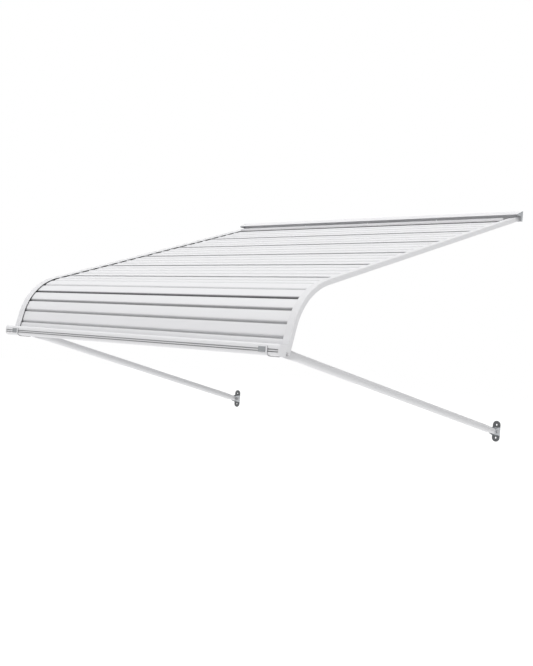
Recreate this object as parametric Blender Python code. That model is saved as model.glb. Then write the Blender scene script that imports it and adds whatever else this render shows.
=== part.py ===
"""Door canopy of white formed aluminium with two support arms.

X runs along the wall, the wall is the plane Y = 0, the canopy reaches towards -Y and Z is up.
Lengths below are in millimetres and become metres when a mesh is made.
"""
import math

import bmesh
import bpy

# General sizes
MM = 0.001
CLEARANCE = 0.3
WIDTH = 1219.0
SHEET = 1.0

# Roof line, measured along the curved top of the sheets from the header's front edge
ROOF_SLOPE = math.radians(18.4)
FRONT_SLOPE = math.radians(76.0)
CURVE_START = 881.0
CURVE_RADIUS = 171.7
RIB_PITCH = 41.5
RIBS_PER_PAN = 4
PAN_COUNT = 5
SHORT_PAN_COVER = 64.5
SLAT_PITCH = 37.8
SLAT_COUNT = 6
HEADER_DEPTH = 59.2
HEADER_DROP = 33.8
CURVE_LENGTH = CURVE_RADIUS * (FRONT_SLOPE - ROOF_SLOPE)
PAN_COVER = RIB_PITCH * RIBS_PER_PAN
PANS_END = PAN_COVER * PAN_COUNT
SLATS_START = PANS_END + SHORT_PAN_COVER
ROOF_END = SLATS_START + SLAT_PITCH * SLAT_COUNT
CURVE_STEP = 9.0

# Foot of the roof line, where the last slat ends
FOOT_RUN = ROOF_END - CURVE_START - CURVE_LENGTH
FOOT_Y = -(CURVE_START * math.cos(ROOF_SLOPE) + FOOT_RUN * math.cos(FRONT_SLOPE)
           + CURVE_RADIUS * (math.sin(FRONT_SLOPE) - math.sin(ROOF_SLOPE)))
FOOT_Z = -(CURVE_START * math.sin(ROOF_SLOPE) + FOOT_RUN * math.sin(FRONT_SLOPE)
           + CURVE_RADIUS * (math.cos(ROOF_SLOPE) - math.cos(FRONT_SLOPE)))

# Ribs and joints of the wide pans
RIB_HEIGHT = 3.0
RIB_WIDTH = 10.0
HOOK_SETBACK = 3.5
FIRST_PAN_SETBACK = 6.0

# Rolled lower edge and hook of the narrow slats
ROLL_LENGTH = 10.0
ROLL_DEPTH = 4.0
SLAT_HOOK_DEPTH = ROLL_DEPTH + SHEET + CLEARANCE - 0.2
SLAT_HOOK_LENGTH = 6.5

# Side rails
RAIL_WEB = 2.0
RAIL_FLOOR = 1.4
RAIL_SHOULDER = 1.6
RAIL_FLANGE = 1.6
RAIL_COVER = 25.0
RAIL_LOWER_COVER = 18.0
RAIL_RIDGE = 1.4
RAIL_TOP_FACE = RIB_HEIGHT + CLEARANCE
RAIL_TOP = RAIL_TOP_FACE + RAIL_FLANGE
RAIL_LOWER_FACE = -(SLAT_HOOK_DEPTH + SHEET + CLEARANCE)
RAIL_BOTTOM = RAIL_LOWER_FACE - RAIL_FLOOR
PANEL_HALF = WIDTH / 2 - RAIL_WEB - CLEARANCE

# Wall header
HEADER_OVERHANG = 7.9
HEADER_HALF = WIDTH / 2 + HEADER_OVERHANG
HEADER_TOP = 40.8
HEADER_BOTTOM = 8.3
HEADER_WALL = 2.5
HEADER_HOOD = 29.5
NOSE_TOP = 28.3
NOSE_BOTTOM = 26.5
SHELF_BOTTOM = 4.6
SHELF_LIP = 7.4
END_PLATE_BOTTOM = 23.0
END_PLATE_FOOT = 10.0
HOLE_SPACING = WIDTH * 0.242
HOLE_HEIGHT = 23.8
HOLE_RADIUS = 2.1
END_PLATE = 1.5

# Front bar
BAR_AHEAD = 33.8
BAR_ABOVE = 20.1
BAR_DEPTH = 35.0
BAR_TALL = 30.0
BAR_FRONT = FOOT_Y - BAR_AHEAD
BAR_TOP = FOOT_Z + BAR_ABOVE
BAR_BOTTOM = BAR_TOP - BAR_TALL
BAR_REAR = BAR_FRONT + BAR_DEPTH
BAR_ROUND = 12.4
BAR_ROUND_TALL = 8.8
BAR_SHOULDER = 7.0
BAR_WALL = 2.2
GROOVE_HEIGHT = 2.8
GROOVE_DEPTH = 4.5
GROOVE_UPPER = BAR_TOP - 12.6
GROOVE_LOWER = BAR_TOP - 18.0
BAR_TONGUE = 2.5
BAR_LEG = 14.0
BAR_CAP = 2.0
CAP_SCREW_BEYOND = 6.2
CAP_SCREW_HEIGHT = 2.8
CAP_SCREW_RADIUS = 2.0
CAP_SCREW_HEAD = 3.6

# Arm clips
CLIP_INSET = 55.5
CLIP_SPACING = WIDTH / 2 - CLIP_INSET
CLIP_THICK = 4.5
CLIP_OFFSET = 15.5
CLIP_BAND = 2.2
CLIP_TOP = BAR_TOP - 6.0
CLIP_EAR = 10.0
SLOT_PLATE_WIDTH = 26.0
SLOT_PLATE_TOP = BAR_TOP - 8.5
SLOT_PLATE_HEIGHT = 13.5
SLOT_PLATE_THICK = 1.5

# Arms, brackets and their bolts
BRACKET_INSET = 22.5
BRACKET_SPACING = WIDTH / 2 - BRACKET_INSET
BRACKET_DROP = 656.8
PIVOT_REACH = 16.0
CLIP_PIVOT = (BAR_REAR + 24.5, BAR_TOP - 18.9)
BRACKET_PIVOT = (HEADER_DEPTH - PIVOT_REACH, -BRACKET_DROP)
ARM_RADIUS = 11.0
ARM_WALL = 1.2
ARM_FLAT_HEIGHT = 25.0
ARM_FLAT_THICK = 3.4
ARM_FLAT_LENGTH = 18.0
ARM_END_WIDTH = 19.6
ARM_END_HEIGHT = 17.0
ARM_END_LENGTH = 10.0
ARM_TAPER = 38.0
ARM_SIDES = 20
BOLT_RADIUS = 3.0
BOLT_HEAD_RADIUS = 5.6
BOLT_HEAD = 3.6
NUT_HEIGHT = 5.0
BRACKET_HEIGHT = 66.0
BRACKET_WIDTH = 26.0
BRACKET_PLATE = 3.0
BRACKET_EAR = 2.6
BRACKET_EAR_GAP = ARM_END_WIDTH + 2 * CLEARANCE
BRACKET_EAR_RADIUS = 9.5
BRACKET_EAR_HEIGHT = 27.0
BRACKET_HOLE_OFFSET = 20.5
BRACKET_HOLE_RADIUS = 3.25
ROUND_SIDES = 24


def clear_scene():
    """Start from an empty scene."""
    for item in list(bpy.data.objects):
        bpy.data.objects.remove(item, do_unlink=True)


def material(name, colour, roughness, metallic):
    """Make a plain Principled material."""
    made = bpy.data.materials.new(name)
    made.use_nodes = True
    shader = made.node_tree.nodes["Principled BSDF"]
    shader.inputs["Base Color"].default_value = (*colour, 1.0)
    shader.inputs["Roughness"].default_value = roughness
    shader.inputs["Metallic"].default_value = metallic
    made.diffuse_color = (*colour, 1.0)
    return made


def place(y, z):
    """Turn a point measured from the header's front edge into part coordinates in metres."""
    return ((y - HEADER_DEPTH) * MM, (z - HEADER_DROP) * MM)


def roof_frame(distance):
    """Give the point, the direction and the outward normal of the roof line at a distance."""
    along = min(distance, CURVE_START)
    y = -along * math.cos(ROOF_SLOPE)
    z = -along * math.sin(ROOF_SLOPE)
    slope = ROOF_SLOPE
    if distance > CURVE_START:
        turned = min(distance - CURVE_START, CURVE_LENGTH)
        slope = ROOF_SLOPE + turned / CURVE_RADIUS
        y -= CURVE_RADIUS * (math.sin(slope) - math.sin(ROOF_SLOPE))
        z += CURVE_RADIUS * (math.cos(slope) - math.cos(ROOF_SLOPE))
        rest = max(distance - CURVE_START - CURVE_LENGTH, 0.0)
        y -= rest * math.cos(slope)
        z -= rest * math.sin(slope)
    direction = (-math.cos(slope), -math.sin(slope))
    normal = (-math.sin(slope), math.cos(slope))
    return (y, z), direction, normal


def roof_point(distance, height):
    """Give the point a height above the roof line, measured from the header's front edge."""
    (y, z), _, normal = roof_frame(distance)
    return (y + height * normal[0], z + height * normal[1])


def finish(name, mesh_data, surface, origin=(0.0, 0.0, 0.0), sharp=30.0):
    """Make an object from a bmesh whose points are in part coordinates."""
    bmesh.ops.recalc_face_normals(mesh_data, faces=mesh_data.faces[:])
    bmesh.ops.translate(mesh_data, verts=mesh_data.verts[:], vec=[-value for value in origin])
    mesh = bpy.data.meshes.new(name)
    mesh_data.to_mesh(mesh)
    mesh_data.free()
    mesh.shade_smooth()
    mesh.set_sharp_from_angle(angle=math.radians(sharp))
    if surface is not None:
        mesh.materials.append(surface)
    made = bpy.data.objects.new(name, mesh)
    made.location = origin
    bpy.context.scene.collection.objects.link(made)
    return made


def add_prism(mesh_data, outline, start, end):
    """Extrude a closed outline of (y, z) points in metres along X."""
    ring = [mesh_data.verts.new((start * MM, y, z)) for y, z in outline]
    face = mesh_data.faces.new(ring)
    grown = bmesh.ops.extrude_face_region(mesh_data, geom=[face])
    moved = [item for item in grown["geom"] if isinstance(item, bmesh.types.BMVert)]
    bmesh.ops.translate(mesh_data, verts=moved, vec=((end - start) * MM, 0.0, 0.0))


def prism(name, outline, start, end, surface, origin=(0.0, 0.0, 0.0)):
    """Make an object by extruding an outline measured from the header's front edge."""
    mesh_data = bmesh.new()
    add_prism(mesh_data, [place(y, z) for y, z in outline], start, end)
    return finish(name, mesh_data, surface, origin)


def circle(y, z, radius, sides=ROUND_SIDES):
    """List the points of a circle in the Y-Z plane."""
    step = 2 * math.pi / sides
    return [(y + radius * math.cos(i * step), z + radius * math.sin(i * step)) for i in range(sides)]


def arc(y, z, radius, first, last, steps):
    """List the points of an arc in the Y-Z plane, angles in degrees."""
    points = []
    for i in range(steps + 1):
        angle = math.radians(first + (last - first) * i / steps)
        points.append((y + radius * math.cos(angle), z + radius * math.sin(angle)))
    return points


def helper(item):
    """Keep a cutting or joining body out of the picture."""
    item.hide_render = True
    item.display_type = "WIRE"


def combine(target, tool, operation):
    """Join or cut a body with another one."""
    step = target.modifiers.new(operation.title() + " " + tool.name, "BOOLEAN")
    step.operation = operation
    step.solver = "EXACT"
    step.object = tool
    helper(tool)


def densify(path):
    """Add points where a sheet follows the curve."""
    points = [path[0]]
    for (s0, n0), (s1, n1) in zip(path, path[1:]):
        parts = 1
        if max(s0, s1) > CURVE_START and min(s0, s1) < CURVE_START + CURVE_LENGTH:
            parts = max(1, math.ceil((s1 - s0) / CURVE_STEP))
        for i in range(1, parts + 1):
            points.append((s0 + (s1 - s0) * i / parts, n0 + (n1 - n0) * i / parts))
    return points


def sheet(name, path, surface):
    """Bend a sheet along a path of (distance, height) points on its outer face."""
    outer = densify(path)
    inner = []
    for i, (s, n) in enumerate(outer):
        before = outer[max(i - 1, 0)]
        after = outer[min(i + 1, len(outer) - 1)]
        sides = []
        for (s0, n0), (s1, n1) in ((before, (s, n)), ((s, n), after)):
            length = math.hypot(s1 - s0, n1 - n0)
            if length > 0:
                sides.append(((n0 - n1) / length, (s1 - s0) / length))
        mean = [sum(side[axis] for side in sides) / len(sides) for axis in (0, 1)]
        size = mean[0] ** 2 + mean[1] ** 2
        inner.append((s - SHEET * mean[0] / size, n - SHEET * mean[1] / size))
    mesh_data = bmesh.new()
    rings = []
    for x in (-PANEL_HALF, PANEL_HALF):
        for line in (outer, inner):
            row = []
            for s, n in line:
                y, z = place(*roof_point(s, n))
                row.append(mesh_data.verts.new((x * MM, y, z)))
            rings.append(row)
    left_outer, left_inner, right_outer, right_inner = rings
    for low, high in ((left_outer, right_outer), (left_inner, right_inner),
                      (left_outer, left_inner), (right_outer, right_inner)):
        for i in range(len(low) - 1):
            mesh_data.faces.new((low[i], low[i + 1], high[i + 1], high[i]))
    for i in (0, -1):
        mesh_data.faces.new((left_outer[i], right_outer[i], right_inner[i], left_inner[i]))
    return finish(name, mesh_data, surface)


def rib(front):
    """Outline a pressed rib whose lower side ends at a distance."""
    points = []
    shape = ((0.0, 0.0), (0.16, 0.10), (0.34, 0.72), (0.5, 1.0), (0.68, 0.94), (0.84, 0.42), (1.0, 0.0))
    for part, height in shape:
        points.append((front - RIB_WIDTH * (1 - part), RIB_HEIGHT * height))
    return points


def joint_rib(front):
    """Outline the rib that covers the next pan's hook and ends in an open lip."""
    shape = ((0.0, 0.0), (0.12, 0.16), (0.3, 0.80), (0.44, 1.0), (0.8, 1.0), (0.93, 0.97), (1.0, 0.9))
    return [(front - RIB_WIDTH * (1 - part), RIB_HEIGHT * height) for part, height in shape]


def pan_hook(line, setback, top):
    """Outline the upturned back edge of a pan."""
    back = line - setback
    return [(back, top), (back, 0.9), (back + 0.3, 0.25), (back + 1.0, 0.0)]


def rolled_edge(line):
    """Outline the lower edge of a slat, rolled inwards."""
    points = []
    reach = ROLL_LENGTH - 1.6
    for i in range(6):
        part = i / 5
        depth = ROLL_DEPTH * (0.3 * part ** 2 + 0.7 * part ** 3)
        points.append((line - ROLL_LENGTH + reach * part, -depth))
    return points


def slat_hook(line):
    """Outline the hook and the rounded shoulder at the top of a slat."""
    low = -SLAT_HOOK_DEPTH
    back = line - SLAT_HOOK_LENGTH
    return [(back, low + 2.1), (back, low + 0.6), (back + 0.5, low), (line + 0.4, low),
            (line + 1.6, low + 0.5), (line + 2.4, low + 2.1), (line + 3.0, -1.4),
            (line + 3.8, -0.4), (line + 5.4, 0.0)]


def make_roof(paint):
    """Make the wide pans, the short pan and the narrow slats."""
    hook_top = RIB_HEIGHT - SHEET - CLEARANCE
    for i in range(PAN_COUNT):
        line = i * PAN_COVER
        path = pan_hook(line, HOOK_SETBACK if i else FIRST_PAN_SETBACK, hook_top)
        for k in range(1, RIBS_PER_PAN):
            path += rib(line + k * RIB_PITCH)
        sheet("roof_pan_%d" % (i + 1), path + joint_rib(line + PAN_COVER), paint)
    path = pan_hook(PANS_END, HOOK_SETBACK, hook_top) + rib(PANS_END + RIB_PITCH)
    sheet("short_pan", path + rolled_edge(SLATS_START), paint)
    for i in range(SLAT_COUNT):
        line = SLATS_START + i * SLAT_PITCH
        path = slat_hook(line)
        if i < SLAT_COUNT - 1:
            path += rolled_edge(line + SLAT_PITCH)
        else:
            path += [(ROOF_END, 0.0)]
        sheet("front_slat_%d" % (i + 1), path, paint)


def make_side_rail(name, side, paint):
    """Sweep the rail's channel section along the roof line."""
    section = [(0.0, RAIL_BOTTOM), (0.0, RAIL_TOP - RAIL_SHOULDER), (0.8, RAIL_TOP + RAIL_RIDGE - 0.5),
               (1.8, RAIL_TOP + RAIL_RIDGE), (3.4, RAIL_TOP + RAIL_RIDGE), (4.8, RAIL_TOP),
               (RAIL_COVER - 0.8, RAIL_TOP),
               (RAIL_COVER, RAIL_TOP - 0.8), (RAIL_COVER, RAIL_TOP_FACE), (RAIL_WEB, RAIL_TOP_FACE),
               (RAIL_WEB, RAIL_LOWER_FACE), (RAIL_LOWER_COVER, RAIL_LOWER_FACE),
               (RAIL_LOWER_COVER, RAIL_BOTTOM)]
    steps = math.ceil(CURVE_LENGTH / CURVE_STEP)
    stations = [CURVE_START + CURVE_LENGTH * i / steps for i in range(steps + 1)] + [ROOF_END]
    wall_gap = HEADER_DEPTH - HEADER_WALL - CLEARANCE
    mesh_data = bmesh.new()
    rings = []
    first = []
    for inward, height in section:
        start = -(wall_gap + height * math.sin(ROOF_SLOPE)) / math.cos(ROOF_SLOPE)
        y, z = place(*roof_point(start, height))
        first.append(mesh_data.verts.new((side * (WIDTH / 2 - inward) * MM, y, z)))
    rings.append(first)
    for distance in stations:
        ring = []
        for inward, height in section:
            y, z = place(*roof_point(distance, height))
            ring.append(mesh_data.verts.new((side * (WIDTH / 2 - inward) * MM, y, z)))
        rings.append(ring)
    count = len(section)
    for low, high in zip(rings, rings[1:]):
        for i in range(count):
            mesh_data.faces.new((low[i], low[(i + 1) % count], high[(i + 1) % count], high[i]))
    mesh_data.faces.new(rings[0])
    mesh_data.faces.new(rings[-1])
    return finish(name, mesh_data, paint)


def add_wall_hole(mesh_data, x, z, radius):
    """Add a short round bar through the wall plane, for a fixing hole."""
    ring = []
    for across, up in circle(0.0, 0.0, radius):
        ring.append(mesh_data.verts.new(((x + across) * MM, -10.0 * MM, z + up * MM)))
    face = mesh_data.faces.new(ring)
    grown = bmesh.ops.extrude_face_region(mesh_data, geom=[face])
    moved = [item for item in grown["geom"] if isinstance(item, bmesh.types.BMVert)]
    bmesh.ops.translate(mesh_data, verts=moved, vec=(0.0, 20.0 * MM, 0.0))


def make_header(paint, zinc):
    """Make the wall header, its shelf, its fixing holes and its two end plates."""
    back = HEADER_DEPTH
    nose = back - HEADER_HOOD
    inner = back - HEADER_WALL
    outline = [(back, HEADER_BOTTOM), (back, HEADER_TOP), (back - 1.5, HEADER_TOP),
               (nose + 0.6, NOSE_TOP), (nose, NOSE_TOP - 0.7), (nose, NOSE_BOTTOM + 0.4),
               (nose + 0.4, NOSE_BOTTOM), (nose + 2.0, NOSE_BOTTOM), (inner, HEADER_TOP - 2.9),
               (inner, HEADER_BOTTOM)]
    header = prism("wall_header", outline, -HEADER_HALF, HEADER_HALF, paint)
    low = SHELF_BOTTOM
    high = low + SHELF_LIP
    shelf = [(back - 1.0, HEADER_BOTTOM + 0.4), (back - 1.0, HEADER_BOTTOM + 2.6), (2.4, low + 2.2),
             (2.0, high), (0.8, high), (0.0, high - 0.8), (0.0, low + 0.6), (0.6, low)]
    reach = WIDTH / 2 - RAIL_COVER - CLEARANCE
    combine(header, prism("header_shelf_body", shelf, -reach, reach, None), "UNION")
    holes = bmesh.new()
    for i in range(-1, 2):
        add_wall_hole(holes, i * HOLE_SPACING, (HOLE_HEIGHT - HEADER_DROP) * MM, HOLE_RADIUS)
    combine(header, finish("header_hole_tool", holes, None), "DIFFERENCE")
    plate = [(back, HEADER_BOTTOM), (back, HEADER_TOP), (back - 1.5, HEADER_TOP), (nose + 0.6, NOSE_TOP),
             (nose, NOSE_TOP - 0.7), (nose, END_PLATE_BOTTOM), (back - END_PLATE_FOOT, END_PLATE_BOTTOM),
             (back - END_PLATE_FOOT, HEADER_BOTTOM)]
    for name, side in (("header_end_left", -1), ("header_end_right", 1)):
        near = side * (HEADER_HALF + CLEARANCE)
        prism(name, plate, near, near + side * END_PLATE, zinc)


def foot_point(beyond, height):
    """Give a point beside the roof's lower end, measured from the header's front edge."""
    return roof_point(ROOF_END + beyond, height)


def foot_at_height(height, z):
    """Give the point at a height above the front slope where it reaches a level."""
    y0, z0 = foot_point(0.0, height)
    return (y0 - (z0 - z) * math.cos(FRONT_SLOPE) / math.sin(FRONT_SLOPE), z)


def bar_round(outward):
    """List the rounded lower front corner of the bar, moved outwards, from the front down."""
    points = []
    for i in range(6):
        angle = math.radians(180 + 18 * i)
        points.append((BAR_FRONT + BAR_ROUND + (BAR_ROUND + outward) * math.cos(angle),
                       BAR_BOTTOM + BAR_ROUND_TALL + (BAR_ROUND_TALL + outward) * math.sin(angle)))
    return points


def bar_front_outline(grooved):
    """List the front bar's front from its shoulder down and round to the bottom."""
    points = arc(BAR_FRONT + BAR_SHOULDER, BAR_TOP - BAR_SHOULDER, BAR_SHOULDER, 90, 180, 3)
    if grooved:
        for top in (GROOVE_UPPER, GROOVE_LOWER):
            points += [(BAR_FRONT, top), (BAR_FRONT + GROOVE_DEPTH, top),
                       (BAR_FRONT + GROOVE_DEPTH, top - GROOVE_HEIGHT), (BAR_FRONT, top - GROOVE_HEIGHT)]
    return points + bar_round(0.0)


def make_front_bar(paint, steel):
    """Make the hollow front bar, its end caps and their screws."""
    face = RAIL_TOP + RAIL_RIDGE + CLEARANCE
    under = RAIL_BOTTOM - CLEARANCE
    tongue = CLEARANCE + BAR_TONGUE
    outline = [foot_at_height(face, BAR_TOP)]
    outline += bar_front_outline(True)
    outline += [(BAR_REAR - 1.0, BAR_BOTTOM), (BAR_REAR, BAR_BOTTOM + 1.0)]
    outline += [foot_point(tongue, -1.6), foot_point(tongue, under - BAR_WALL),
                foot_point(-BAR_LEG, under - BAR_WALL), foot_point(-BAR_LEG, under),
                foot_point(CLEARANCE, under), foot_point(CLEARANCE, face)]
    half = WIDTH / 2 - BAR_CAP - CLEARANCE
    bar = prism("front_bar", outline, -half, half, paint)
    cavity_front = BAR_FRONT + GROOVE_DEPTH + BAR_WALL
    rear = face + BAR_WALL
    cavity = [foot_at_height(rear, BAR_TOP - BAR_WALL), (cavity_front, BAR_TOP - BAR_WALL),
              (cavity_front, BAR_BOTTOM + 10.0), (cavity_front + 4.0, BAR_BOTTOM + 4.0),
              (cavity_front + 9.0, BAR_BOTTOM + BAR_WALL), (BAR_REAR - BAR_WALL, BAR_BOTTOM + BAR_WALL),
              foot_point(tongue + BAR_WALL, 1.4), foot_point(tongue + BAR_WALL, rear)]
    tool = prism("bar_cavity_tool", cavity, -half - 5.0, half + 5.0, None)
    combine(bar, tool, "DIFFERENCE")
    cap_outline = [foot_at_height(face, BAR_TOP)] + bar_front_outline(False)
    cap_outline += [(BAR_REAR - 1.0, BAR_BOTTOM), (BAR_REAR, BAR_BOTTOM + 1.0),
                    foot_point(tongue, -1.6), foot_point(tongue, face)]
    for word, side in (("left", -1), ("right", 1)):
        outer = side * WIDTH / 2
        cap = prism("bar_cap_" + word, cap_outline, outer - side * BAR_CAP, outer, paint)
        centre = foot_point(CAP_SCREW_BEYOND, CAP_SCREW_HEIGHT)
        hole = circle(*centre, CAP_SCREW_RADIUS + CLEARANCE)
        tool = prism("cap_hole_tool_" + word, hole, outer - side * 13.0, outer + side * 10.0, None)
        combine(cap, tool, "DIFFERENCE")
        combine(bar, tool, "DIFFERENCE")
        screw = bmesh.new()
        add_round(screw, place(*centre), ((outer - side * 12.0, CAP_SCREW_RADIUS),
                                              (outer + side * CLEARANCE, CAP_SCREW_RADIUS),
                                              (outer + side * CLEARANCE, CAP_SCREW_HEAD),
                                              (outer + side * 1.6, CAP_SCREW_HEAD),
                                              (outer + side * 2.5, CAP_SCREW_HEAD * 0.55)))
        finish("cap_screw_" + word, screw, steel)


def add_round(mesh_data, centre, steps, sides=ROUND_SIDES):
    """Build a turned body along X from (position, radius) steps and close both ends."""
    rings = []
    for x, radius in steps:
        ring = []
        for y, z in circle(0.0, 0.0, radius, sides):
            ring.append(mesh_data.verts.new((x * MM, centre[0] + y * MM, centre[1] + z * MM)))
        rings.append(ring)
    for low, high in zip(rings, rings[1:]):
        for i in range(sides):
            j = (i + 1) % sides
            mesh_data.faces.new((low[i], low[j], high[j], high[i]))
    mesh_data.faces.new(rings[0])
    mesh_data.faces.new(rings[-1])


def add_nut(mesh_data, centre, start, end):
    """Build a hexagon nut along X with a clear hole."""
    hole = BOLT_RADIUS + CLEARANCE
    rings = []
    for x in (start, end):
        for inside in (False, True):
            ring = []
            for i in range(18):
                angle = math.pi * i / 9
                from_corner = abs((angle + math.pi / 6) % (math.pi / 3) - math.pi / 6)
                reach = hole
                if not inside:
                    reach = BOLT_HEAD_RADIUS * math.cos(math.pi / 6) / math.cos(math.pi / 6 - from_corner)
                ring.append(mesh_data.verts.new((x * MM, centre[0] + reach * MM * math.cos(angle),
                                                 centre[1] + reach * MM * math.sin(angle))))
            rings.append(ring)
    outer_start, inner_start, outer_end, inner_end = rings
    for low, high in ((outer_start, outer_end), (inner_start, inner_end),
                      (outer_start, inner_start), (outer_end, inner_end)):
        for i in range(18):
            j = (i + 1) % 18
            mesh_data.faces.new((low[i], low[j], high[j], high[i]))


def make_bolt(names, centre, head_face, far_face, steel, origin=(0.0, 0.0, 0.0)):
    """Make a pivot bolt with its head on one face and its nut beyond the other."""
    side = 1.0 if far_face > head_face else -1.0
    head = head_face - side * CLEARANCE
    tip = far_face + side * (CLEARANCE + NUT_HEIGHT + 1.5)
    bolt = bmesh.new()
    add_round(bolt, centre, ((head - side * BOLT_HEAD, BOLT_HEAD_RADIUS * 0.7),
                             (head - side * (BOLT_HEAD - 1.2), BOLT_HEAD_RADIUS),
                             (head, BOLT_HEAD_RADIUS), (head, BOLT_RADIUS), (tip, BOLT_RADIUS)))
    finish(names[0], bolt, steel, origin)
    nut = bmesh.new()
    add_nut(nut, centre, far_face + side * CLEARANCE, far_face + side * (CLEARANCE + NUT_HEIGHT))
    finish(names[1], nut, steel, origin)


def clip_outline():
    """List the outline of the plate that hooks round the bar and carries the arm's pivot."""
    leg = RAIL_BOTTOM - CLEARANCE - BAR_WALL - CLEARANCE
    points = [(BAR_FRONT - CLEARANCE, CLIP_TOP), (BAR_FRONT - CLIP_BAND, CLIP_TOP)]
    points += bar_round(CLIP_BAND)
    points += [(BAR_REAR + 6.0, BAR_BOTTOM - CLIP_BAND)]
    points += arc(CLIP_PIVOT[0], CLIP_PIVOT[1], CLIP_EAR, -65, 90, 8)
    points += [foot_point(-BAR_LEG, leg), foot_point(CLEARANCE + BAR_TONGUE + 1.2, leg)]
    points += [(BAR_REAR + 2.0, BAR_BOTTOM - CLEARANCE)]
    return points + bar_round(CLEARANCE)[::-1]


def make_clips(paint, zinc, steel):
    """Make the two arm clips, their grey slot plates and their pivot bolts."""
    for word, side in (("left", -1), ("right", 1)):
        middle = side * CLIP_SPACING
        near = middle + CLIP_OFFSET - CLIP_THICK / 2
        far = near + CLIP_THICK
        clip = prism("arm_clip_" + word, clip_outline(), near, far, paint)
        hole = circle(*CLIP_PIVOT, BOLT_RADIUS + CLEARANCE)
        combine(clip, prism("clip_hole_tool_" + word, hole, near - 5.0, far + 5.0, None), "DIFFERENCE")
        front = BAR_FRONT - CLEARANCE
        low = SLOT_PLATE_TOP - SLOT_PLATE_HEIGHT
        plate = [(front, SLOT_PLATE_TOP), (front, low), (front - SLOT_PLATE_THICK, low + 0.5),
                 (front - SLOT_PLATE_THICK, SLOT_PLATE_TOP - 0.5)]
        end = near - CLEARANCE
        prism("slot_plate_" + word, plate, end - SLOT_PLATE_WIDTH, end, zinc)
        names = ("clip_bolt_" + word, "clip_nut_" + word)
        make_bolt(names, place(*CLIP_PIVOT), near - CLEARANCE - ARM_FLAT_THICK, far, steel)


def flat_ring(height, thick):
    """List the cross-section of a flattened tube end, as (across, up) points."""
    points = []
    half = height / 2
    reach = half - thick / 2
    for i in range(ARM_SIDES):
        angle = 2 * math.pi * (i + 0.5) / ARM_SIDES
        level = half * math.sin(angle)
        rest = max(abs(level) - reach, 0.0)
        bulge = math.sqrt(max((thick / 2) ** 2 - rest ** 2, 0.0))
        points.append((math.copysign(max(bulge, thick * 0.18), math.cos(angle)), level))
    return points


def oval_ring(width, height):
    """List an oval cross-section, as (across, up) points."""
    points = []
    for i in range(ARM_SIDES):
        angle = 2 * math.pi * (i + 0.5) / ARM_SIDES
        points.append((width / 2 * math.cos(angle), height / 2 * math.sin(angle)))
    return points


def blend_rings(first, second, part):
    """Mix two cross-sections, smoothly from the first to the second."""
    weight = 3 * part ** 2 - 2 * part ** 3
    return [(a[0] + (b[0] - a[0]) * weight, a[1] + (b[1] - a[1]) * weight) for a, b in zip(first, second)]


def arm_rings(length, shrink):
    """List the (distance, cross-section) pairs of one skin of an arm, from the clip to the wall."""
    tube = oval_ring(2 * (ARM_RADIUS - shrink), 2 * (ARM_RADIUS - shrink))
    flat = flat_ring(ARM_FLAT_HEIGHT - 2 * shrink, ARM_FLAT_THICK - 2 * shrink)
    neck = oval_ring(ARM_END_WIDTH - 2 * shrink, ARM_END_HEIGHT - 2 * shrink)
    tip_parts = (0.96, 0.88, 0.74, 0.5, 0.2)
    rings = []
    for part in tip_parts:
        tall = ARM_FLAT_HEIGHT * math.sqrt(1.0 - part ** 2) - 2 * shrink
        rings.append((-part * ARM_FLAT_HEIGHT / 2, flat_ring(tall, ARM_FLAT_THICK - 2 * shrink)))
    for part in (0.0, 0.3, 0.65, 1.0):
        rings.append((ARM_FLAT_LENGTH + ARM_TAPER * part, blend_rings(flat, tube, part)))
    for part in (0.0, 0.3, 0.65, 1.0):
        rings.append((length - ARM_END_LENGTH - ARM_TAPER * (1.0 - part), blend_rings(tube, neck, part)))
    for part in reversed(tip_parts):
        tall = ARM_END_HEIGHT * math.sqrt(1.0 - part ** 2) - 2 * shrink
        rings.append((length + part * ARM_END_HEIGHT / 2, oval_ring(ARM_END_WIDTH - 2 * shrink, tall)))
    return rings


def make_arm(word, side, paint):
    """Make a tube arm, flat at the clip and narrowed at the wall, its origin on the clip's pivot."""
    start_x = side * CLIP_SPACING + CLIP_OFFSET - CLIP_THICK / 2 - CLEARANCE - ARM_FLAT_THICK / 2
    end_x = side * BRACKET_SPACING
    span = (BRACKET_PIVOT[0] - CLIP_PIVOT[0], BRACKET_PIVOT[1] - CLIP_PIVOT[1])
    length = math.hypot(*span)
    along = (span[0] / length, span[1] / length)
    run = length - ARM_FLAT_LENGTH - ARM_END_LENGTH
    mesh_data = bmesh.new()
    skins = []
    for shrink in (0.0, ARM_WALL):
        skin = []
        for distance, section in arm_rings(length, shrink):
            travel = min(max((distance - ARM_FLAT_LENGTH) / run, 0.0), 1.0)
            x = start_x + (end_x - start_x) * travel
            ring = []
            for aside, up in section:
                y, z = place(CLIP_PIVOT[0] + along[0] * distance - along[1] * up,
                             CLIP_PIVOT[1] + along[1] * distance + along[0] * up)
                ring.append(mesh_data.verts.new(((x + aside) * MM, y, z)))
            skin.append(ring)
        skins.append(skin)
    pairs = list(zip(skins[0], skins[0][1:])) + list(zip(skins[1], skins[1][1:]))
    pairs += [(skins[0][0], skins[1][0]), (skins[0][-1], skins[1][-1])]
    for low, high in pairs:
        for i in range(ARM_SIDES):
            j = (i + 1) % ARM_SIDES
            mesh_data.faces.new((low[i], low[j], high[j], high[i]))
    origin_y, origin_z = place(*CLIP_PIVOT)
    arm = finish(word + "_arm", mesh_data, paint, (0.0, origin_y, origin_z), 40.0)
    for label, pivot, x in (("upper", CLIP_PIVOT, start_x), ("lower", BRACKET_PIVOT, end_x)):
        hole = circle(*pivot, BOLT_RADIUS + CLEARANCE)
        tool = prism("%s_%s_hole_tool" % (word, label), hole, x - 15.0, x + 15.0, None)
        combine(arm, tool, "DIFFERENCE")
    return arm


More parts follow.
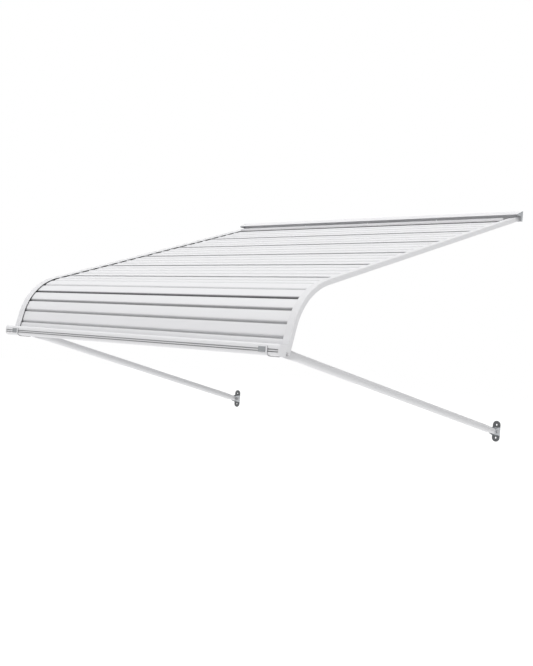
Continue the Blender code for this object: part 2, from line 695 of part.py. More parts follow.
def make_bracket(word, side, zinc, steel):
    """Make a forked wall bracket with its pivot bolt, the origin on the pivot."""
    middle = side * BRACKET_SPACING
    pivot_y, pivot_z = place(*BRACKET_PIVOT)
    origin = (0.0, pivot_y, pivot_z)
    radius = BRACKET_WIDTH / 2
    straight = BRACKET_HEIGHT / 2 - radius
    outline = []
    for sign in (1, -1):
        for i in range(13):
            angle = math.pi * i / 12 + (0.0 if sign > 0 else math.pi)
            outline.append((middle + radius * math.cos(angle), sign * straight + radius * math.sin(angle)))
    mesh_data = bmesh.new()
    ring = [mesh_data.verts.new((x * MM, 0.0, pivot_z + z * MM)) for x, z in outline]
    face = mesh_data.faces.new(ring)
    grown = bmesh.ops.extrude_face_region(mesh_data, geom=[face])
    moved = [item for item in grown["geom"] if isinstance(item, bmesh.types.BMVert)]
    bmesh.ops.translate(mesh_data, verts=moved, vec=(0.0, -BRACKET_PLATE * MM, 0.0))
    bracket = finish(word + "_wall_bracket", mesh_data, zinc, origin)
    wall = HEADER_DEPTH
    half = BRACKET_EAR_HEIGHT / 2
    ear = [(wall - 1.0, BRACKET_PIVOT[1] - half), (wall - 1.0, BRACKET_PIVOT[1] + half)]
    ear += [(wall - BRACKET_PLATE - 1.5, BRACKET_PIVOT[1] + half)]
    ear += arc(BRACKET_PIVOT[0], BRACKET_PIVOT[1], BRACKET_EAR_RADIUS, 110, 250, 8)
    ear += [(wall - BRACKET_PLATE - 1.5, BRACKET_PIVOT[1] - half)]
    near = BRACKET_EAR_GAP / 2
    far = near + BRACKET_EAR
    for label, turn in (("inner", -side), ("outer", side)):
        tool = prism("%s_%s_ear_body" % (word, label), ear, middle + turn * near, middle + turn * far, None)
        combine(bracket, tool, "UNION")
    holes = bmesh.new()
    for offset in (-BRACKET_HOLE_OFFSET, BRACKET_HOLE_OFFSET):
        add_wall_hole(holes, middle, pivot_z + offset * MM, BRACKET_HOLE_RADIUS)
    add_prism(holes, [place(y, z) for y, z in circle(*BRACKET_PIVOT, BOLT_RADIUS + CLEARANCE)],
              middle - far - 5.0, middle + far + 5.0)
    combine(bracket, finish(word + "_bracket_hole_tool", holes, None), "DIFFERENCE")
    names = (word + "_bracket_bolt", word + "_bracket_nut")
    make_bolt(names, (pivot_y, pivot_z), middle + side * far, middle - side * far, steel, origin)


def main():
    """Build the whole canopy."""
    clear_scene()
    paint = material("white_enamel", (0.86, 0.865, 0.87), 0.38, 0.0)
    zinc = material("grey_zinc", (0.30, 0.31, 0.32), 0.45, 1.0)
    steel = material("bolt_steel", (0.55, 0.55, 0.56), 0.35, 1.0)
    make_header(paint, zinc)
    make_roof(paint)
    make_side_rail("side_rail_left", -1, paint)
    make_side_rail("side_rail_right", 1, paint)
    make_front_bar(paint, steel)
    make_clips(paint, zinc, steel)
    for word, side in (("left", -1), ("right", 1)):
        make_arm(word, side, paint)
        make_bracket(word, side, zinc, steel)


main()
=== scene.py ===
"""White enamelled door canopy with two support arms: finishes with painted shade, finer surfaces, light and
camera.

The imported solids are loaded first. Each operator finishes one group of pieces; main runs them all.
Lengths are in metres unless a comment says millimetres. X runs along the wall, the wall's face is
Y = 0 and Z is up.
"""
import math

import bpy
import numpy as np
from mathutils import Matrix, Vector


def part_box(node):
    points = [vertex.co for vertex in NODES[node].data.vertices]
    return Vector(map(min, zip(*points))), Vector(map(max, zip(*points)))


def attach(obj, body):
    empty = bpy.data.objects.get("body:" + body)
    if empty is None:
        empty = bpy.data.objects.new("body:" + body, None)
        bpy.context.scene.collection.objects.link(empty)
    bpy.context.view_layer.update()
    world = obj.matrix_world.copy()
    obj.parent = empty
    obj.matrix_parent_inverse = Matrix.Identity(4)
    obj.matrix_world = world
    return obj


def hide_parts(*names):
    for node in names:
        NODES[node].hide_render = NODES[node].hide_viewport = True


bl_info = {
    "name": "Door Canopy",
    "version": (1, 0, 0),
    "blender": (4, 5, 0),
    "location": "3D View > Sidebar > Canopy",
    "description": "Finishes a formed aluminium door canopy and lights it",
    "category": "Object",
}

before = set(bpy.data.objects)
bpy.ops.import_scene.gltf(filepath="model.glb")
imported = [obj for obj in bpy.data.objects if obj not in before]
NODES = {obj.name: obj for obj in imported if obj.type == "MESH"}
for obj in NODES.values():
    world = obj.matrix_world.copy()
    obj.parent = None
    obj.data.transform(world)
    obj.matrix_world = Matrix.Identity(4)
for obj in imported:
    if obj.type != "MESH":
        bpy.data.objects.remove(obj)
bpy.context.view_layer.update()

PANS = ["roof_pan_%d" % number for number in range(1, 6)]
SLATS = ["front_slat_%d" % number for number in range(1, 7)]
RAILS = ["side_rail_left", "side_rail_right"]
HEADER = ["wall_header", "header_end_left", "header_end_right"]
BAR = ["front_bar", "bar_cap_left", "bar_cap_right"]
CLIPS = ["arm_clip_left", "arm_clip_right"]
SLOT_PLATES = ["slot_plate_left", "slot_plate_right"]
ARMS = ["left_arm", "right_arm"]
BRACKETS = ["left_wall_bracket", "right_wall_bracket"]
FASTENERS = ["cap_screw_left", "cap_screw_right", "clip_bolt_left", "clip_bolt_right", "clip_nut_left",
             "clip_nut_right", "left_bracket_bolt", "left_bracket_nut", "right_bracket_bolt",
             "right_bracket_nut"]

# Roof sheets, in millimetres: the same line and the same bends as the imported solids
MM = 0.001
WIDTH = 1219.0
SHEET = 1.0
CLEARANCE = 0.3
HEADER_DEPTH = 59.2
HEADER_DROP = 33.8
ROOF_SLOPE = math.radians(18.4)
FRONT_SLOPE = math.radians(76.0)
CURVE_START = 881.0
CURVE_RADIUS = 171.7
CURVE_LENGTH = CURVE_RADIUS * (FRONT_SLOPE - ROOF_SLOPE)
RIB_PITCH = 41.5
RIBS_PER_PAN = 4
RIB_HEIGHT = 3.0
RIB_WIDTH = 10.0
PAN_COVER = RIB_PITCH * RIBS_PER_PAN
PANS_END = PAN_COVER * len(PANS)
SHORT_PAN_COVER = 64.5
SLATS_START = PANS_END + SHORT_PAN_COVER
SLAT_PITCH = 37.8
ROLL_LENGTH = 10.0
ROLL_DEPTH = 4.0
ROLL_TIP_SHORT = 1.6
HOOK_LIFT = 0.2
SLAT_HOOK_DEPTH = ROLL_DEPTH + SHEET + CLEARANCE - HOOK_LIFT
SLAT_HOOK_LENGTH = 6.5
HOOK_SETBACK = 3.5
FIRST_PAN_SETBACK = 6.0
RAIL_WEB = 2.0
RAIL_COVER = 25.0
PANEL_HALF = WIDTH / 2 - RAIL_WEB - CLEARANCE
FLANGE_EDGE = WIDTH / 2 - RAIL_COVER

# Sheet meshes, in millimetres: the spacing of their points along the profile, the strip beside a
# rail's flange where the painted shade under it fades out, and the places across the open part
GRAIN = 0.5
SHADE_START = 1.5
SHADE_FADE = 2.0
COVERED_STRIP = 4.0
OPEN_MARGIN = 60.0
OPEN_PLACES = 7
SHARP_BEND = math.radians(50.0)

# Painted shade from 0 for none to 1 for full: where a fold is hidden and under the rails' flanges,
# and how much less each lower slat has beside the rails
HIDDEN_FOLD = 1.0
RAIL_SHADE_STEP = 0.1

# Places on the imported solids: the bar's two grooves, the header's nose and the bracket plates
BAR_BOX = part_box("front_bar")
HEADER_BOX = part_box("wall_header")
BRACKET_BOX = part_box(BRACKETS[0])
BRACKET_MIDDLE = (BRACKET_BOX[0][2] + BRACKET_BOX[1][2]) / 2
GROOVES_BELOW_TOP = (0.0122, 0.0212)
GROOVE_DEPTH = 0.002
NOSE_BEHIND_FRONT = 0.0297
RECESS_DEPTH = 0.012
LOBE_REACH = 0.0125
LOBE_BLUR = 0.001
PLATE_FACE = -0.004

# Brightness of each group of pieces beside the plain colours, and the strength of its painted shade. The
# rails' and the arms' tints are painted shade too: slightly darker copies of the same white enamel.
RAIL_SHADE_TINT = 0.96
ARM_SHADE_TINT = 0.98
BRACKET_TINT = 1.95
SLOT_PLATE_TINT = 1.25
HEADER_END_TINT = 1.6
RECESS_SHADE = 0.28
GROOVE_SHADE = 0.5
ARM_SHADE = 0.18
CLIP_SIDE_SHADE = 0.7
LOBE_SHADE_TONE = 0.28

# How far a face's normal leans, for the masks of painted shade: the limit of a face that looks up,
# the range of one that looks along the wall, and the range from a tube's underside to its upper side
LOOKS_UP = 0.5
SIDE_FACING = (0.75, 0.95)
UPPER_FACING = (-0.95, 0.15)

# Enamel: patterns per metre, the range of its tone and gloss, and its bump as strength and height
TONE_DRIFT = 0.02
DRIFT_SCALE = 3.0
STREAK_SCALE = 90.0
STREAK_LOW = 0.88
RUB_SCALE = 45.0
RUB_SOFTENING = 0.08
ENAMEL_RELIEF = (0.06, 0.0002)

# Plated metal: patterns per metre, the range of its roughness, and its bumps
PLATING = {"Cloud": 0.35, "Cloud Scale": 60.0, "Grain Scale": 900.0}
PLATING_ROUGHNESS = (0.34, 0.56)
ZINC_RELIEF = (0.2, 0.0002)
STEEL_RELIEF = (0.15, 0.0002)

# Floor, lamps, and the frame of the photograph in pixels with the camera's film width in millimetres
WHITE = (1.0, 1.0, 1.0, 1.0)
FLOOR_HALF = 60.0
FLOOR_TONE = (0.5, 0.5, 0.5, 1.0)
TOP_LAMP_TOWARDS = (0.06, -0.27, 0.96)
SIDE_LAMP_TOWARDS = (0.85, -0.30, 0.45)
LAMP_SOFTNESS = math.radians(70.0)
FRAME_WIDE = 533
FRAME_TALL = 666
SENSOR = 36.0


class CanopyFinish(bpy.types.PropertyGroup):
    """Colours, painted shade and surface character of the canopy."""

    enamel: bpy.props.FloatVectorProperty(
        name="Enamel", description="Colour of the baked enamel", subtype="COLOR", size=3,
        min=0.0, max=1.0, default=(0.875, 0.875, 0.890))
    enamel_gloss: bpy.props.FloatProperty(
        name="Enamel Roughness", description="How matt the enamel is", subtype="FACTOR",
        min=0.05, max=1.0, default=0.42)
    peel_size: bpy.props.FloatProperty(
        name="Peel Size", description="Width of the faint waves in the enamel", unit="LENGTH",
        min=0.0005, max=0.02, default=0.0025)
    # The painted shade colour: the dark colour that folds, recesses, grooves and other shaded places are
    # painted towards, in place of their shade.
    painted_shade_colour: bpy.props.FloatVectorProperty(
        name="Painted Shade Colour", description="Colour of the dirt and shade deep in the folds", subtype="COLOR",
        size=3, min=0.0, max=1.0, default=(0.07, 0.07, 0.078))
    # Painted shade of the seams: how dark each rolled edge, each slat's hook and the joints between the
    # wide pans are painted.
    roll_shade: bpy.props.FloatVectorProperty(
        name="Roll Shade", description="How dark each rolled edge is, from the short pan down", size=6,
        min=0.0, max=1.0, default=(0.10, 0.20, 1.0, 0.70, 0.45, 0.30))
    crack_shade: bpy.props.FloatVectorProperty(
        name="Crack Shade", description="How dark each slat's hook is, from the top slat down", size=6,
        min=0.0, max=1.0, default=(0.20, 0.30, 0.80, 0.50, 0.50, 0.45))
    joint_shade: bpy.props.FloatProperty(
        name="Joint Shade", description="How dark the joints between the wide pans are",
        subtype="FACTOR", min=0.0, max=1.0, default=0.25)
    zinc: bpy.props.FloatVectorProperty(
        name="Zinc", description="Colour of the zinc-plated brackets", subtype="COLOR", size=3,
        min=0.0, max=1.0, default=(0.30, 0.31, 0.32))
    steel: bpy.props.FloatVectorProperty(
        name="Steel", description="Colour of the bolts and nuts", subtype="COLOR", size=3,
        min=0.0, max=1.0, default=(0.50, 0.50, 0.51))


class CanopyStage(bpy.types.PropertyGroup):
    """Floor, lamps and camera."""

    floor_level: bpy.props.FloatProperty(
        name="Floor Level", description="Height of the ground under the door canopy", unit="LENGTH",
        default=-2.30)
    sky: bpy.props.FloatProperty(
        name="Sky", description="Even light from all round", min=0.0, max=2.0, default=0.20)
    floor_glow: bpy.props.FloatProperty(
        name="Floor Glow", description="Light given off by the floor itself", min=0.0, max=2.0,
        default=0.47)
    floor_white: bpy.props.FloatProperty(
        name="Floor White", description="Light added where the floor is seen directly", min=0.0, max=2.0,
        default=0.15)
    top_lamp: bpy.props.FloatProperty(
        name="Top Lamp", description="Strength of the soft lamp overhead", min=0.0, max=10.0,
        default=2.15)
    side_lamp: bpy.props.FloatProperty(
        name="Side Lamp", description="Strength of the soft lamp at the right", min=0.0, max=10.0,
        default=0.40)
    camera_place: bpy.props.FloatVectorProperty(
        name="Camera Place", description="Where the photograph was taken from", subtype="XYZ",
        unit="LENGTH", size=3, default=(2.2757, -2.8322, -0.5060))
    camera_turn: bpy.props.FloatProperty(
        name="Camera Turn", description="Angle of view away from the wall's normal, seen from above",
        subtype="ANGLE", default=0.77392)
    camera_dip: bpy.props.FloatProperty(
        name="Camera Dip", description="How far the view looks down", subtype="ANGLE", default=-0.00031)
    camera_roll: bpy.props.FloatProperty(
        name="Camera Roll", description="How far the camera leans", subtype="ANGLE", default=0.08023)
    focal_pixels: bpy.props.FloatProperty(
        name="Focal Length", description="Focal length in picture pixels", min=100.0, default=1011.9)
    centre_across: bpy.props.FloatProperty(
        name="Centre Across", description="Optical centre from the picture's left, in pixels",
        default=258.32)
    centre_down: bpy.props.FloatProperty(
        name="Centre Down", description="Optical centre from the picture's top, in pixels",
        default=353.30)


def new_group(name, inputs, outputs):
    """Make an empty shader group whose sockets carry the given names and kinds."""
    group = bpy.data.node_groups.new(name, "ShaderNodeTree")
    for label, kind in inputs:
        group.interface.new_socket(name=label, in_out="INPUT", socket_type="NodeSocket" + kind)
    for label, kind in outputs:
        group.interface.new_socket(name=label, in_out="OUTPUT", socket_type="NodeSocket" + kind)
    entry = group.nodes.new("NodeGroupInput")
    way_out = group.nodes.new("NodeGroupOutput")
    return group, entry, way_out


def add_node(tree, kind, **values):
    """Add a node and set its properties."""
    node = tree.nodes.new("ShaderNode" + kind)
    for key, value in values.items():
        setattr(node, key, value)
    return node


def feed(tree, socket, value):
    """Set a socket to a number, or link another node's socket to it."""
    if isinstance(value, (int, float)):
        socket.default_value = value
    else:
        tree.links.new(value, socket)


def noise(tree, place, scale, detail=2.0):
    """Add a noise pattern that reads a place; the scale may be a number or a socket."""
    node = add_node(tree, "TexNoise")
    feed(tree, node.inputs["Vector"], place)
    feed(tree, node.inputs["Scale"], scale)
    feed(tree, node.inputs["Detail"], detail)
    return node.outputs["Fac"]


def spread(tree, value, low, high):
    """Remap a 0 to 1 value to a range; the ends may be numbers or sockets."""
    node = add_node(tree, "MapRange")
    for label, given in (("Value", value), ("To Min", low), ("To Max", high)):
        feed(tree, node.inputs[label], given)
    return node.outputs["Result"]


def shaded(tree, colour, amount):
    """Multiply a colour by a brightness."""
    node = add_node(tree, "VectorMath", operation="SCALE")
    tree.links.new(colour, node.inputs[0])
    tree.links.new(amount, node.inputs["Scale"])
    return node.outputs["Vector"]


def stepped(tree, value, low, high):
    """Rise smoothly from 0 at the low end to 1 at the high end; the ends may be numbers or sockets."""
    node = add_node(tree, "MapRange", interpolation_type="SMOOTHSTEP")
    for label, given in (("Value", value), ("From Min", low), ("From Max", high)):
        feed(tree, node.inputs[label], given)
    return node.outputs["Result"]


def maths(tree, operation, *values):
    """Combine numbers or sockets with one Math node."""
    node = add_node(tree, "Math", operation=operation)
    for slot, value in enumerate(values):
        feed(tree, node.inputs[slot], value)
    return node.outputs[0]


def blended(tree, factor, first, second):
    """Mix two colours given as sockets."""
    node = add_node(tree, "Mix", data_type="RGBA")
    tree.links.new(factor, node.inputs["Factor"])
    tree.links.new(first, node.inputs["A"])
    tree.links.new(second, node.inputs["B"])
    return node.outputs["Result"]


def recess_group():
    """Mask of painted shade in a groove: how far a point lies behind the front, between two heights, if not
    facing up.
    """
    name = "Recess Mask"
    if name in bpy.data.node_groups:
        return bpy.data.node_groups[name]
    group, entry, way_out = new_group(
        name,
        [("Front", "Float"), ("Depth", "Float"), ("Low", "Float"), ("High", "Float"),
         ("Strength", "Float")],
        [("Mask", "Float")])
    place = add_node(group, "SeparateXYZ")
    group.links.new(add_node(group, "TexCoord").outputs["Object"], place.inputs[0])
    facing = add_node(group, "SeparateXYZ")
    group.links.new(add_node(group, "NewGeometry").outputs["Normal"], facing.inputs[0])
    behind = maths(group, "SUBTRACT", place.outputs["Y"], entry.outputs["Front"])
    deep = stepped(group, behind, 0.0, entry.outputs["Depth"])
    above = maths(group, "GREATER_THAN", place.outputs["Z"], entry.outputs["Low"])
    below = maths(group, "LESS_THAN", place.outputs["Z"], entry.outputs["High"])
    level = maths(group, "LESS_THAN", facing.outputs["Z"], LOOKS_UP)
    mask = maths(group, "MULTIPLY", maths(group, "MULTIPLY", above, below), level)
    strong = maths(group, "MULTIPLY", deep, entry.outputs["Strength"])
    group.links.new(maths(group, "MULTIPLY", mask, strong), way_out.inputs["Mask"])
    return group


def upper_side_group():
    """Mask of painted shade on a tube's upper side: full on faces that look up or sideways, none on faces
    that look down.
    """
    name = "Upper Side Mask"
    if name in bpy.data.node_groups:
        return bpy.data.node_groups[name]
    group, entry, way_out = new_group(
        name, [("None Below", "Float"), ("Full Above", "Float"), ("Strength", "Float")],
        [("Mask", "Float")])
    facing = add_node(group, "SeparateXYZ")
    group.links.new(add_node(group, "TexCoord").outputs["Normal"], facing.inputs[0])
    upward = stepped(group, facing.outputs["Z"], entry.outputs["None Below"], entry.outputs["Full Above"])
    group.links.new(maths(group, "MULTIPLY", upward, entry.outputs["Strength"]), way_out.inputs["Mask"])
    return group


def side_group():
    """Mask of painted shade on the faces that look along the wall, such as a plate's sides."""
    name = "Side Face Mask"
    if name in bpy.data.node_groups:
        return bpy.data.node_groups[name]
    group, entry, way_out = new_group(name, [("Strength", "Float")], [("Mask", "Float")])
    facing = add_node(group, "SeparateXYZ")
    group.links.new(add_node(group, "NewGeometry").outputs["Normal"], facing.inputs[0])
    sideways = stepped(group, maths(group, "ABSOLUTE", facing.outputs["X"]), *SIDE_FACING)
    group.links.new(maths(group, "MULTIPLY", sideways, entry.outputs["Strength"]), way_out.inputs["Mask"])
    return group


def lobe_group():
    """Mask of painted shade on a bracket plate's two round ends, which lie farther than a reach from its
    middle.
    """
    name = "Lobe Mask"
    if name in bpy.data.node_groups:
        return bpy.data.node_groups[name]
    group, entry, way_out = new_group(
        name, [("Middle", "Float"), ("Reach", "Float"), ("Face", "Float")], [("Mask", "Float")])
    place = add_node(group, "SeparateXYZ")
    group.links.new(add_node(group, "TexCoord").outputs["Object"], place.inputs[0])
    away = maths(group, "ABSOLUTE", maths(group, "SUBTRACT", place.outputs["Z"], entry.outputs["Middle"]))
    past = maths(group, "SUBTRACT", away, entry.outputs["Reach"])
    beyond = stepped(group, past, -LOBE_BLUR, LOBE_BLUR)
    plate = maths(group, "GREATER_THAN", place.outputs["Y"], entry.outputs["Face"])
    group.links.new(maths(group, "MULTIPLY", beyond, plate), way_out.inputs["Mask"])
    return group


def enamel_group():
    """Baked enamel: a slow drift of tone, an uneven gloss, faint orange peel, and painted shade in folds,
    grooves and other shaded places.
    """
    name = "Baked Enamel"
    if name in bpy.data.node_groups:
        return bpy.data.node_groups[name]
    group, entry, way_out = new_group(
        name,
        [("Colour", "Color"), ("Painted Shade Colour", "Color"), ("Painted Shade Amount", "Float"), ("Tone Drift", "Float"),
         ("Gloss", "Float"), ("Peel Scale", "Float")],
        [("Colour", "Color"), ("Roughness", "Float"), ("Height", "Float")])
    place = add_node(group, "TexCoord").outputs["Object"]
    lowest = maths(group, "SUBTRACT", 1.0, entry.outputs["Tone Drift"])
    tone = spread(group, noise(group, place, DRIFT_SCALE), lowest, 1.0)
    # Painted shade: the mask, broken up by faint streaks, mixes the colour towards the painted shade
    # colour.
    streaks = spread(group, noise(group, place, STREAK_SCALE, detail=3.0), STREAK_LOW, 1.0)
    shading = maths(group, "MULTIPLY", entry.outputs["Painted Shade Amount"], streaks)
    unshaded = shaded(group, entry.outputs["Colour"], tone)
    group.links.new(blended(group, shading, unshaded, entry.outputs["Painted Shade Colour"]), way_out.inputs["Colour"])
    rub = noise(group, place, RUB_SCALE, detail=3.0)
    softer = maths(group, "ADD", entry.outputs["Gloss"], RUB_SOFTENING)
    group.links.new(spread(group, rub, entry.outputs["Gloss"], softer), way_out.inputs["Roughness"])
    group.links.new(noise(group, place, entry.outputs["Peel Scale"], detail=1.0), way_out.inputs["Height"])
    return group


def plated_group():
    """Plated metal: soft cloudy patches, fine rubbed grain and a little pitting."""
    name = "Plated Metal"
    if name in bpy.data.node_groups:
        return bpy.data.node_groups[name]
    group, entry, way_out = new_group(
        name,
        [("Colour", "Color"), ("Cloud", "Float"), ("Cloud Scale", "Float"), ("Grain Scale", "Float")],
        [("Colour", "Color"), ("Roughness", "Float"), ("Height", "Float")])
    place = add_node(group, "TexCoord").outputs["Object"]
    patches = noise(group, place, entry.outputs["Cloud Scale"], detail=3.0)
    tone = spread(group, patches, maths(group, "SUBTRACT", 1.0, entry.outputs["Cloud"]), 1.0)
    group.links.new(shaded(group, entry.outputs["Colour"], tone), way_out.inputs["Colour"])
    group.links.new(spread(group, patches, *PLATING_ROUGHNESS), way_out.inputs["Roughness"])
    group.links.new(noise(group, place, entry.outputs["Grain Scale"]), way_out.inputs["Height"])
    return group


def finish_material(name, group, colour, values, relief, metallic):
    """Make a Principled material whose colour, roughness and bump come from a shared group.

    The relief holds the bump's strength and its height.
    """
    made = bpy.data.materials.new(name)
    made.use_nodes = True
    tree = made.node_tree
    shader = tree.nodes["Principled BSDF"]
    shader.inputs["Metallic"].default_value = metallic
    effect = add_node(tree, "Group", name="Finish")
    effect.node_tree = group
    effect.inputs["Colour"].default_value = (*colour, 1.0)
    for label, value in values.items():
        effect.inputs[label].default_value = value
    bump = add_node(tree, "Bump")
    bump.inputs["Strength"].default_value = relief[0]
    bump.inputs["Distance"].default_value = relief[1]
    tree.links.new(effect.outputs["Colour"], shader.inputs["Base Color"])
    tree.links.new(effect.outputs["Roughness"], shader.inputs["Roughness"])
    tree.links.new(effect.outputs["Height"], bump.inputs["Height"])
    tree.links.new(bump.outputs["Normal"], shader.inputs["Normal"])
    return made


def enamel(name, tint=1.0):
    """Make a white enamel for one group of pieces; its colour is the plain enamel times the tint."""
    finish = bpy.context.scene.canopy_finish
    colour = [channel * tint for channel in finish.enamel]
    values = {"Painted Shade Colour": (*finish.painted_shade_colour, 1.0), "Tone Drift": TONE_DRIFT, "Gloss": finish.enamel_gloss,
              "Peel Scale": 1.0 / finish.peel_size}
    return finish_material(name, enamel_group(), colour, values, ENAMEL_RELIEF, 0.0)


def zinc(name, tint):
    """Make a grey zinc plating; its colour is the plain zinc times the tint."""
    colour = [channel * tint for channel in bpy.context.scene.canopy_finish.zinc]
    return finish_material(name, plated_group(), colour, PLATING, ZINC_RELIEF, 1.0)


def mask_output(surface, group, values):
    """Place a mask group in a material with its own values and give its output."""
    mask = add_node(surface.node_tree, "Group")
    mask.node_tree = group
    for label, value in values.items():
        mask.inputs[label].default_value = value
    return mask.outputs["Mask"]


def with_painted_shade(surface, mask):
    """Let a mask carry an enamel's painted shade."""
    surface.node_tree.links.new(mask, surface.node_tree.nodes["Finish"].inputs["Painted Shade Amount"])
    return surface


def folded(surface):
    """Paint shade on a sheet by its fold attribute."""
    return with_painted_shade(surface, add_node(surface.node_tree, "Attribute", attribute_name="fold").outputs["Fac"])


def grooved(surface, front, depth, low, high, strength):
    """Paint shade on what lies behind a front plane between two heights."""
    values = {"Front": front, "Depth": depth, "Low": low, "High": high, "Strength": strength}
    return with_painted_shade(surface, mask_output(surface, recess_group(), values))


def painted_shade_above(surface, strength):
    """Paint shade on the upper side of a tube, as it lies at rest."""
    values = {"None Below": UPPER_FACING[0], "Full Above": UPPER_FACING[1], "Strength": strength}
    return with_painted_shade(surface, mask_output(surface, upper_side_group(), values))


def painted_shade_on_sides(surface, strength):
    """Paint shade on the faces that look along the wall."""
    return with_painted_shade(surface, mask_output(surface, side_group(), {"Strength": strength}))


def painted_shade_on_ends(surface, middle, reach, face, tone):
    """Paint shade on the round ends of the bracket plates, where the colour is multiplied by the tone."""
    tree = surface.node_tree
    mask = mask_output(surface, lobe_group(), {"Middle": middle, "Reach": reach, "Face": face})
    deep = shaded(tree, tree.nodes["Finish"].outputs["Colour"], spread(tree, mask, 1.0, tone))
    tree.links.new(deep, tree.nodes["Principled BSDF"].inputs["Base Color"])
    return surface


def roof_frame(distance):
    """Give the roof line's points and outward normals at distances from the header's front edge.

    The line is straight at the roof's slope, then an arc of constant radius, then straight at the
    front's slope. The slope at a distance is the roof's slope plus the arc's length up to there
    divided by its radius. Along a straight part, y and z fall by its length times the cosine and
    the sine of its slope. Along the arc, y falls by the radius times the gain in sine, and z falls
    by the radius times the loss in cosine. The normal is (-sine, cosine) of the slope.
    """
    along = np.minimum(distance, CURVE_START)
    turned = np.clip(distance - CURVE_START, 0.0, CURVE_LENGTH)
    rest = np.maximum(distance - CURVE_START - CURVE_LENGTH, 0.0)
    slope = ROOF_SLOPE + turned / CURVE_RADIUS
    sine, cosine = np.sin(slope), np.cos(slope)
    y = -along * math.cos(ROOF_SLOPE) - CURVE_RADIUS * (sine - math.sin(ROOF_SLOPE)) - rest * cosine
    z = -along * math.sin(ROOF_SLOPE) + CURVE_RADIUS * (cosine - math.cos(ROOF_SLOPE)) - rest * sine
    return y, z, -sine, cosine


def softened(values):
    """Average each value with its neighbours along the profile, holding both ends.

    The five weights are 1, 2, 3, 2 and 1 ninths, and past an end the values go on as its mirror
    image turned about the end point.
    """
    weights = np.array([1.0, 2.0, 3.0, 2.0, 1.0]) / 9.0
    padded = np.pad(values, 2, mode="reflect", reflect_type="odd")
    return np.convolve(padded, weights, mode="valid")


def sheet_profile(path):
    """Round a bent sheet's profile and give its outer line, inner line and fold.

    The path holds (distance, height, fold) points of the outer face. A point of the inner face lies
    below by the sheet's thickness times the mean of the two normals beside it, over the square of
    that mean's length, so each flat keeps its thickness. Both lines are resampled evenly along the
    path's length and averaged over a short window, which rounds the bends.
    """
    points = np.array(path)
    steps = np.diff(points[:, :2], axis=0)
    lengths = np.hypot(steps[:, 0], steps[:, 1])
    normals = np.stack((-steps[:, 1], steps[:, 0]), axis=1) / lengths[:, None]
    before = np.vstack((normals[:1], normals))
    after = np.vstack((normals, normals[-1:]))
    mean = (before + after) / 2.0
    inner = points[:, :2] - SHEET * mean / np.sum(mean ** 2, axis=1)[:, None]
    travelled = np.concatenate(([0.0], np.cumsum(lengths)))
    places = np.linspace(0.0, travelled[-1], int(travelled[-1] / GRAIN))
    columns = np.column_stack((points, inner))
    return [softened(np.interp(places, travelled, column)) for column in columns.T]


def sheet_piece(name, path, surface, edge_shade):
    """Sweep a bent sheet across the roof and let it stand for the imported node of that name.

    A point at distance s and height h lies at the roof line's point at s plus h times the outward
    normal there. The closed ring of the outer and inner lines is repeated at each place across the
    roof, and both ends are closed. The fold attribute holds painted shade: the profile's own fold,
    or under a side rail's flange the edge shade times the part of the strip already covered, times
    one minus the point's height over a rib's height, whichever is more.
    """
    distance, height, fold, inner_distance, inner_height = sheet_profile(path)
    count = len(distance)
    ring_distance = np.concatenate((distance, inner_distance[::-1]))
    ring_height = np.concatenate((height, inner_height[::-1]))
    ring_fold = np.concatenate((fold, np.zeros(count)))
    y, z, normal_y, normal_z = roof_frame(ring_distance)
    bare = FLANGE_EDGE - SHADE_START
    edge = np.array([PANEL_HALF, FLANGE_EDGE + COVERED_STRIP, bare + SHADE_FADE, bare])
    inside = np.linspace(-FLANGE_EDGE + OPEN_MARGIN, FLANGE_EDGE - OPEN_MARGIN, OPEN_PLACES)
    across = np.concatenate((-edge, inside, edge[::-1]))
    total = 2 * count
    grid = np.empty((len(across), total, 3))
    grid[:, :, 0] = across[:, None] * MM
    grid[:, :, 1] = (y + ring_height * normal_y - HEADER_DEPTH) * MM
    grid[:, :, 2] = (z + ring_height * normal_z - HEADER_DROP) * MM
    # Painted shade under the rails' flanges: it fades in across the strip and stays off the ribs' tops.
    sheltered = np.clip((np.abs(across) - bare) / SHADE_FADE, 0.0, 1.0)
    low_part = 1.0 - np.clip(ring_height / RIB_HEIGHT, 0.0, 1.0)
    shade = np.maximum(ring_fold[None, :], edge_shade * sheltered[:, None] * low_part[None, :])
    place = np.arange(total)
    following = (place + 1) % total
    rows = np.arange(len(across) - 1)[:, None] * total
    sides = np.stack((rows + place, rows + following, rows + total + following, rows + total + place),
                     axis=2).reshape(-1, 4)
    line = np.arange(count - 1)
    cap = np.stack((line, line + 1, total - 2 - line, total - 1 - line), axis=1)
    faces = np.vstack((sides, cap[:, ::-1], cap + (len(across) - 1) * total))
    mesh = bpy.data.meshes.new(name)
    mesh.from_pydata(grid.reshape(-1, 3).tolist(), [], faces.tolist())
    attribute = mesh.attributes.new("fold", "FLOAT", "POINT")
    attribute.data.foreach_set("value", shade.astype(np.float32).ravel())
    mesh.shade_smooth()
    mesh.set_sharp_from_angle(angle=SHARP_BEND)
    mesh.materials.append(surface)
    piece = bpy.data.objects.new("fine_" + name, mesh)
    bpy.context.scene.collection.objects.link(piece)
    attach(piece, "canopy")
    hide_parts(name)


